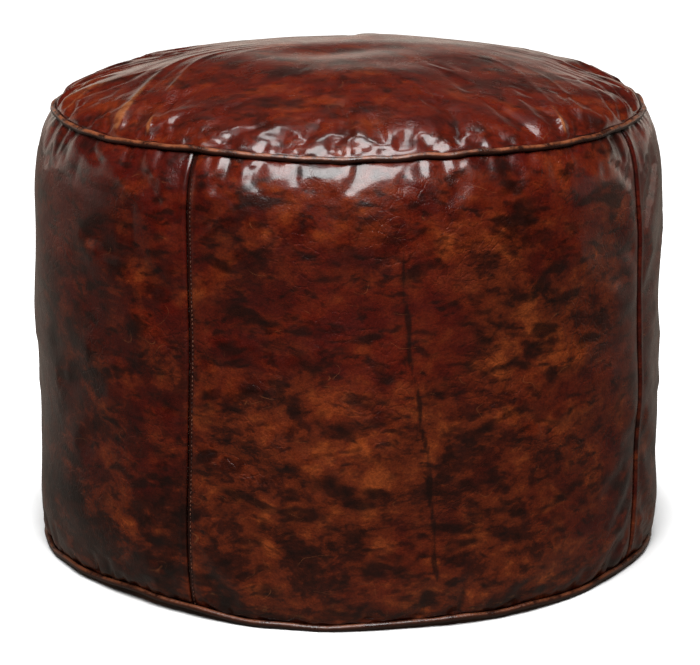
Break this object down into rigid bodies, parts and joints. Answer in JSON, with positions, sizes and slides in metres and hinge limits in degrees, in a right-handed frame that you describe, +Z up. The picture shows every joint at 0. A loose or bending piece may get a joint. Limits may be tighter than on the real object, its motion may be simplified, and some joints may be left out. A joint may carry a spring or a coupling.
{
  "type": "leather pouf",
  "caption": "Low drum-shaped stuffed leather pouf with a domed crown, paneled sides, piped upper and lower seams and a zipped base.",
  "frame": {"origin": "centre of the base, on the floor", "axes": "+Z up through the middle of the crown, -Y towards the front, +X to the right seen from the front, along the zip to its closed end"},
  "size_m": [0.5602, 0.5602, 0.435],
  "materials": {
    "side_leather": "glossy, waxed, mottled red-brown",
    "crown_leather": "glossy, waxed, mottled orange-brown",
    "piping_leather": "dark, with copper-coloured worn edges",
    "base_leather": "matt brown",
    "thread": "waxed thread, matt",
    "piping_cord": "twisted cotton, matt",
    "zip_tape": "woven, matt",
    "zip_coil": "moulded coil, satin",
    "zip_metal": "antique brass, satin",
    "calico": "unbleached plain weave, matt",
    "wadding": "carded cotton, matt",
    "fibre": "packed cotton fibre, matt"
  },
  "bodies": {
    "cover": {"side_panel_front": "side_leather", "side_panel_right": "side_leather", "side_panel_back": "side_leather", "side_panel_left": "side_leather", "side_stitching_1": "thread", "side_stitching_2": "thread", "side_stitching_3": "thread", "side_stitching_4": "thread", "crown_panel": "crown_leather", "upper_piping_cover": "piping_leather", "upper_piping_cord": "piping_cord", "lower_piping_cover": "piping_leather", "lower_piping_cord": "piping_cord", "base_panel_front": "base_leather", "zip_tape_front": "zip_tape", "zip_coil_front": "zip_coil", "zip_top_stop_front": "zip_metal", "zip_stitching_front": "thread", "base_panel_back": "base_leather", "zip_tape_back": "zip_tape", "zip_coil_back": "zip_coil", "zip_top_stop_back": "zip_metal", "zip_stitching_back": "thread", "zip_bottom_stop": "zip_metal", "inner_bag_crown": "calico", "inner_bag_side": "calico", "inner_bag_base": "calico", "crown_wadding": "wadding", "side_wadding": "wadding", "filling_core": "fibre"},
    "slider": {"zip_slider": "zip_metal"},
    "pull": {"zip_pull": "zip_metal"}
  },
  "joints": [
    {"name": "zip_slide", "type": "slide", "parent": "cover", "child": "slider", "axis": [-1, 0, 0], "range_m": [0, 0.3448]},
    {"name": "pull_swing", "type": "hinge", "parent": "slider", "child": "pull", "pos_m": [0.171, 0, 0.0042], "axis": [0, -1, 0], "range_deg": [-8, 172]}
  ]
}
